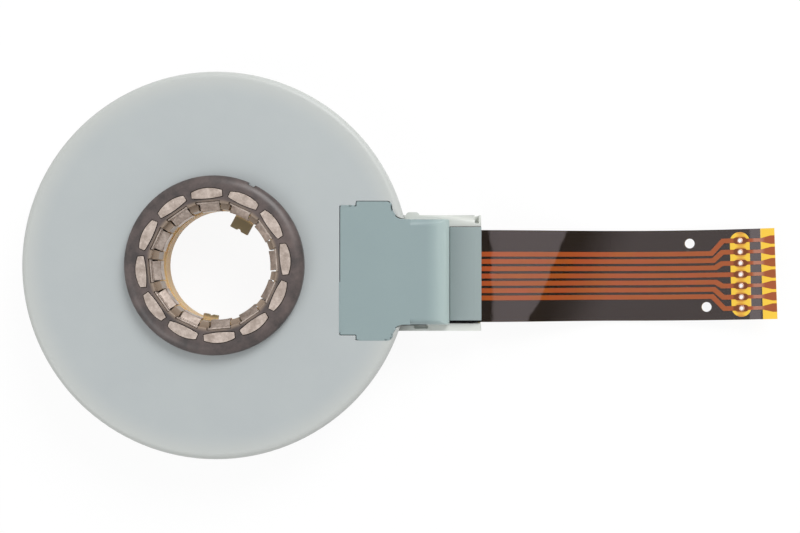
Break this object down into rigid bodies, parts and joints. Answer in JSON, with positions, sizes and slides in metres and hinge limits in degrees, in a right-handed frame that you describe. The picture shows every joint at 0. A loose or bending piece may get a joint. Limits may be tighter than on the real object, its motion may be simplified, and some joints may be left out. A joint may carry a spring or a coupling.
{
  "type": "steering torque and angle sensor",
  "caption": "Flat round sensor housing with a gripping collar round its bore, a keyed hub below, and a side neck with a flat flexible tail.",
  "frame": {"origin": "on the bore axis at the housing's foot, the face that lies on the table", "axes": "+Z along the bore towards the gripping collar, +X from the bore along the flat tail"},
  "size_m": [0.1664, 0.084, 0.0188],
  "materials": {
    "nylon": "natural moulded nylon, satin, slightly translucent, pale grey",
    "neck_nylon": "natural moulded nylon, satin, greener where it is thick",
    "brown_plastic": "dark brown glass-filled plastic, satin",
    "spring_metal": "tinned spring strip, dull warm grey",
    "amber_plastic": "amber translucent plastic",
    "contact_metal": "bright contact alloy strip",
    "cable_film": "laminated amber film with copper inside",
    "black_film": "black cover film, glossy",
    "amber_film": "amber film, glossy",
    "copper": "etched copper under clear film",
    "board": "laminate board",
    "carbon": "printed resistive ink"
  },
  "bodies": {
    "housing": {"base_shell": "nylon", "top_cover": "nylon", "neck_cover": "neck_nylon", "cable_clamp": "neck_nylon", "angle_wiper": "contact_metal", "wound_cable": "cable_film", "tail_backing": "black_film", "tail_film": "amber_film", "trace_1": "copper", "trace_2": "copper", "trace_3": "copper", "trace_4": "copper", "trace_5": "copper", "trace_6": "copper", "trace_7": "copper"},
    "upper_rotor": {"upper_collar": "brown_plastic", "grip_ring": "spring_metal", "cable_drum": "nylon", "sensor_board": "board", "torque_track_inner": "carbon", "torque_track_outer": "carbon", "angle_track_inner": "carbon", "angle_track_outer": "carbon"},
    "lower_rotor": {"lower_hub": "amber_plastic", "torque_wiper": "contact_metal"}
  },
  "joints": [
    {"name": "steer_turn", "type": "hinge", "parent": "housing", "child": "upper_rotor", "pos_m": [0, 0, 0.01], "axis": [0, 0, 1], "range_deg": [-900, 900], "deforming": ["wound_cable"]},
    {"name": "torsion_turn", "type": "hinge", "parent": "upper_rotor", "child": "lower_rotor", "pos_m": [0, 0, 0.01], "axis": [0, 0, 1], "range_deg": [-8, 8]}
  ]
}
